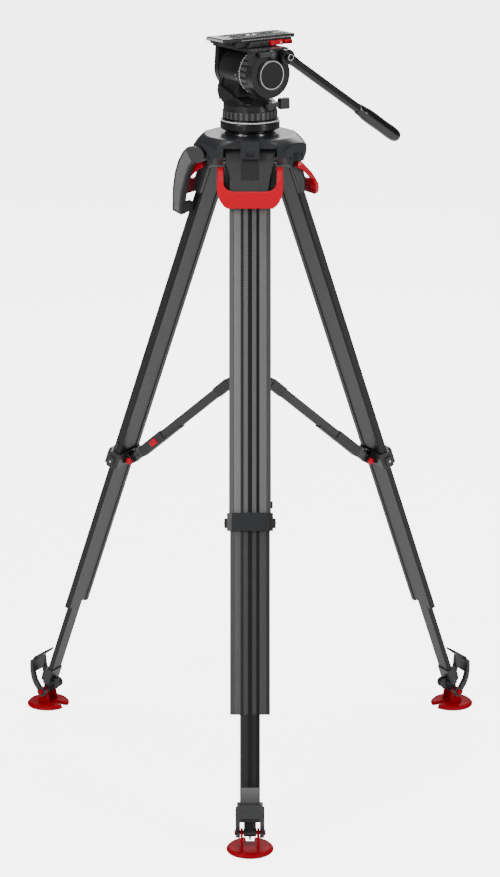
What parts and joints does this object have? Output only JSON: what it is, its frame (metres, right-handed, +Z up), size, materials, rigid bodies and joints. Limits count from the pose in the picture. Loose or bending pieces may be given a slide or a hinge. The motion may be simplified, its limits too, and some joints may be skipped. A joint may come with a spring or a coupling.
{
  "type": "camera tripod with fluid head",
  "caption": "Three-stage folding camera tripod with mid-level spreader, hinged feet, levelling bowl and fluid head with pan bar and sliding camera plate.",
  "frame": {"origin": "on the floor, at the middle of the stand's footprint box; the pan axis is at y = +0.095", "axes": "+Z up, -Y towards the front leg, the three legs at azimuths -90, 30 and 150 degrees about the pan axis"},
  "size_m": [0.7262, 0.6376, 1.1185],
  "materials": {
    "cast_black": "satin black painted casting",
    "carbon": "carbon fibre weave under a satin clear coat",
    "grey_cast": "satin dark grey paint",
    "red": "satin moulded red",
    "black_plastic": "fine moulded grain",
    "rubber": "matt, lightly textured",
    "steel": "turned and lightly brushed"
  },
  "bodies": {
    "stand": {"crown": "cast_black", "bowl_ring": "cast_black", "pivot_pin_front": "steel", "pivot_pin_right": "steel", "pivot_pin_left": "steel"},
    "leg_front": {"shoulder_front": "grey_cast", "upper_tube_front": "carbon", "collar_front": "black_plastic"},
    "middle_front": {"middle_tube_front": "carbon"},
    "lower_front": {"lower_tube_front": "carbon", "foot_fork_front": "black_plastic"},
    "foot_front": {"foot_pad_front": "red"},
    "latch_front": {"foot_latch_front": "black_plastic"},
    "brake_front": {"brake_lever_front": "red"},
    "arm_front": {"spreader_arm_front": "black_plastic", "spreader_slider_front": "cast_black"},
    "arm_pin_front": {"spreader_knob_front": "red"},
    "leg_right": {"shoulder_right": "grey_cast", "upper_tube_right": "carbon", "collar_right": "black_plastic"},
    "middle_right": {"middle_tube_right": "carbon"},
    "lower_right": {"lower_tube_right": "carbon", "foot_fork_right": "black_plastic"},
    "foot_right": {"foot_pad_right": "red"},
    "latch_right": {"foot_latch_right": "black_plastic"},
    "brake_right": {"brake_lever_right": "red"},
    "arm_right": {"spreader_arm_right": "black_plastic", "spreader_slider_right": "cast_black"},
    "arm_pin_right": {"spreader_knob_right": "red"},
    "leg_left": {"shoulder_left": "grey_cast", "upper_tube_left": "carbon", "collar_left": "black_plastic", "carry_handle": "rubber"},
    "middle_left": {"middle_tube_left": "carbon"},
    "lower_left": {"lower_tube_left": "carbon", "foot_fork_left": "black_plastic"},
    "foot_left": {"foot_pad_left": "red"},
    "latch_left": {"foot_latch_left": "black_plastic"},
    "brake_left": {"brake_lever_left": "red"},
    "arm_left": {"spreader_arm_left": "black_plastic", "spreader_slider_left": "cast_black"},
    "arm_pin_left": {"spreader_knob_left": "red"},
    "hub": {"spreader_hub": "black_plastic"},
    "clamp": {"clamp_disc": "steel"},
    "level_base": {"ball_base": "cast_black"},
    "tie_down": {"tie_down_knob": "black_plastic"},
    "pan_drag": {"pan_drag_ring": "rubber"},
    "pan_unit": {"pan_housing": "cast_black"},
    "pan_brake": {"pan_brake_lever": "black_plastic"},
    "tilt_unit": {"tilt_body": "cast_black", "side_cap": "black_plastic", "platform": "cast_black"},
    "tilt_drag": {"tilt_drag_ring": "rubber"},
    "tilt_brake": {"tilt_brake_lever": "black_plastic"},
    "plate": {"camera_plate": "cast_black"},
    "plate_lock": {"plate_lock_lever": "red"},
    "plate_release": {"plate_button": "red"},
    "bar": {"pan_bar": "cast_black", "pan_bar_grip": "rubber"},
    "bar_knob": {"pan_bar_knob": "steel"}
  },
  "joints": [
    {"name": "splay_front", "type": "hinge", "parent": "stand", "child": "leg_front", "pos_m": [0, 0.0445, 0.9462], "axis": [-1, 0, 0], "range_deg": [-19.5, 0]},
    {"name": "middle_slide_front", "type": "slide", "parent": "leg_front", "child": "middle_front", "axis": [0, -0.3374, -0.9414], "range_m": [-0.24, 0.17]},
    {"name": "lower_slide_front", "type": "slide", "parent": "middle_front", "child": "lower_front", "axis": [0, -0.3374, -0.9414], "range_m": [-0.11, 0.26]},
    {"name": "foot_tilt_front", "type": "hinge", "parent": "lower_front", "child": "foot_front", "pos_m": [0, -0.28499, 0.02697], "axis": [-1, 0, 0], "range_deg": [-30, 30]},
    {"name": "foot_latch_turn_front", "type": "hinge", "parent": "lower_front", "child": "latch_front", "pos_m": [0, -0.28499, 0.02697], "axis": [-1, 0, 0], "range_deg": [-45, 0]},
    {"name": "brake_lift_front", "type": "hinge", "parent": "leg_front", "child": "brake_front", "pos_m": [0, 0.03587, 0.92805], "axis": [-1, 0, 0], "range_deg": [0, 35]},
    {"name": "arm_swing_front", "type": "hinge", "parent": "leg_front", "child": "arm_front", "pos_m": [0, -0.11517, 0.44148], "axis": [-1, 0, 0], "range_deg": [-29, 0.5]},
    {"name": "arm_pin_turn_front", "type": "hinge", "parent": "leg_front", "child": "arm_pin_front", "pos_m": [0, -0.11517, 0.44148], "axis": [-1, 0, 0], "range_deg": [0, 90]},
    {"name": "splay_right", "type": "hinge", "parent": "stand", "child": "leg_right", "pos_m": [0.04373, 0.12025, 0.9462], "axis": [0.5, -0.866, 0], "range_deg": [-19.5, 0]},
    {"name": "middle_slide_right", "type": "slide", "parent": "leg_right", "child": "middle_right", "axis": [0.2922, 0.1687, -0.9414], "range_m": [-0.24, 0.17]},
    {"name": "lower_slide_right", "type": "slide", "parent": "middle_right", "child": "lower_right", "axis": [0.2922, 0.1687, -0.9414], "range_m": [-0.11, 0.26]},
    {"name": "foot_tilt_right", "type": "hinge", "parent": "lower_right", "child": "foot_right", "pos_m": [0.32909, 0.285, 0.02697], "axis": [0.5, -0.866, 0], "range_deg": [-30, 30]},
    {"name": "foot_latch_turn_right", "type": "hinge", "parent": "lower_right", "child": "latch_right", "pos_m": [0.32909, 0.285, 0.02697], "axis": [0.5, -0.866, 0], "range_deg": [-45, 0]},
    {"name": "brake_lift_right", "type": "hinge", "parent": "leg_right", "child": "brake_right", "pos_m": [0.05121, 0.12457, 0.92805], "axis": [0.5, -0.866, 0], "range_deg": [0, 35]},
    {"name": "arm_swing_right", "type": "hinge", "parent": "leg_right", "child": "arm_right", "pos_m": [0.18201, 0.20009, 0.44148], "axis": [0.5, -0.866, 0], "range_deg": [-29, 0.5]},
    {"name": "arm_pin_turn_right", "type": "hinge", "parent": "leg_right", "child": "arm_pin_right", "pos_m": [0.18201, 0.20009, 0.44148], "axis": [0.5, -0.866, 0], "range_deg": [0, 90]},
    {"name": "splay_left", "type": "hinge", "parent": "stand", "child": "leg_left", "pos_m": [-0.04373, 0.12025, 0.9462], "axis": [0.5, 0.866, 0], "range_deg": [-19.5, 0]},
    {"name": "middle_slide_left", "type": "slide", "parent": "leg_left", "child": "middle_left", "axis": [-0.2922, 0.1687, -0.9414], "range_m": [-0.24, 0.17]},
    {"name": "lower_slide_left", "type": "slide", "parent": "middle_left", "child": "lower_left", "axis": [-0.2922, 0.1687, -0.9414], "range_m": [-0.11, 0.26]},
    {"name": "foot_tilt_left", "type": "hinge", "parent": "lower_left", "child": "foot_left", "pos_m": [-0.32909, 0.285, 0.02697], "axis": [0.5, 0.866, 0], "range_deg": [-30, 30]},
    {"name": "foot_latch_turn_left", "type": "hinge", "parent": "lower_left", "child": "latch_left", "pos_m": [-0.32909, 0.285, 0.02697], "axis": [0.5, 0.866, 0], "range_deg": [-45, 0]},
    {"name": "brake_lift_left", "type": "hinge", "parent": "leg_left", "child": "brake_left", "pos_m": [-0.05121, 0.12457, 0.92805], "axis": [0.5, 0.866, 0], "range_deg": [0, 35]},
    {"name": "arm_swing_left", "type": "hinge", "parent": "leg_left", "child": "arm_left", "pos_m": [-0.18201, 0.20009, 0.44148], "axis": [0.5, 0.866, 0], "range_deg": [-29, 0.5]},
    {"name": "arm_pin_turn_left", "type": "hinge", "parent": "leg_left", "child": "arm_pin_left", "pos_m": [-0.18201, 0.20009, 0.44148], "axis": [0.5, 0.866, 0], "range_deg": [0, 90]},
    {"name": "hub_lift", "type": "slide", "parent": "stand", "child": "hub", "axis": [0, 0, 1], "range_m": [-0.002, 0.066]},
    {"name": "level_side", "type": "hinge", "parent": "stand", "child": "clamp", "pos_m": [0, 0.095, 0.972], "axis": [1, 0, 0], "range_deg": [-5, 5]},
    {"name": "level_fore", "type": "hinge", "parent": "clamp", "child": "level_base", "pos_m": [0, 0.095, 0.972], "axis": [0, 1, 0], "range_deg": [-5, 5]},
    {"name": "tie_down_turn", "type": "hinge", "parent": "level_base", "child": "tie_down", "pos_m": [0, 0.095, 0.9], "axis": [0, 0, 1], "continuous": true},
    {"name": "pan_drag_turn", "type": "hinge", "parent": "level_base", "child": "pan_drag", "pos_m": [0, 0.095, 1.003], "axis": [0, 0, 1], "continuous": true},
    {"name": "pan", "type": "hinge", "parent": "level_base", "child": "pan_unit", "pos_m": [0, 0.095, 1.01], "axis": [0, 0, 1], "continuous": true},
    {"name": "pan_brake_turn", "type": "hinge", "parent": "pan_unit", "child": "pan_brake", "pos_m": [0.02851, 0.06125, 1.0185], "axis": [-0.5736, 0.8192, 0], "range_deg": [0, 40]},
    {"name": "tilt", "type": "hinge", "parent": "pan_unit", "child": "tilt_unit", "pos_m": [0, 0.095, 1.0655], "axis": [0.5736, -0.8192, 0], "range_deg": [-20, 90]},
    {"name": "tilt_drag_turn", "type": "hinge", "parent": "pan_unit", "child": "tilt_drag", "pos_m": [0.01663, 0.07125, 1.0655], "axis": [0.5736, -0.8192, 0], "continuous": true},
    {"name": "tilt_brake_turn", "type": "hinge", "parent": "tilt_unit", "child": "tilt_brake", "pos_m": [0.03159, 0.04814, 1.096], "axis": [0.5736, -0.8192, 0], "range_deg": [-50, 0]},
    {"name": "plate_slide", "type": "slide", "parent": "tilt_unit", "child": "plate", "axis": [0.8192, 0.5736, 0], "range_m": [-0.04, 0.04]},
    {"name": "plate_lock_turn", "type": "hinge", "parent": "tilt_unit", "child": "plate_lock", "pos_m": [0.04452, 0.09419, 1.107], "axis": [0, 0, 1], "range_deg": [0, 45]},
    {"name": "plate_button_press", "type": "slide", "parent": "tilt_unit", "child": "plate_release", "axis": [-0.5736, 0.8192, 0], "range_m": [0, 0.0018], "stiffness_N_per_m": 400},
    {"name": "bar_turn", "type": "hinge", "parent": "tilt_unit", "child": "bar", "pos_m": [0.0533, 0.0609, 1.0909], "axis": [0.5736, -0.8192, 0], "range_deg": [-10, 60]},
    {"name": "bar_knob_turn", "type": "hinge", "parent": "bar", "child": "bar_knob", "pos_m": [0.058, 0.05419, 1.0909], "axis": [0.5736, -0.8192, 0], "continuous": true}
  ],
  "couplings": [
    {"joint": "arm_swing_front", "follows": "splay_front", "ratio": 1.4325},
    {"joint": "splay_right", "follows": "splay_front", "ratio": 1},
    {"joint": "arm_swing_right", "follows": "splay_front", "ratio": 1.4325},
    {"joint": "splay_left", "follows": "splay_front", "ratio": 1},
    {"joint": "arm_swing_left", "follows": "splay_front", "ratio": 1.4325},
    {"joint": "hub_lift", "follows": "splay_front", "m_per_rad": -0.18495}
  ]
}
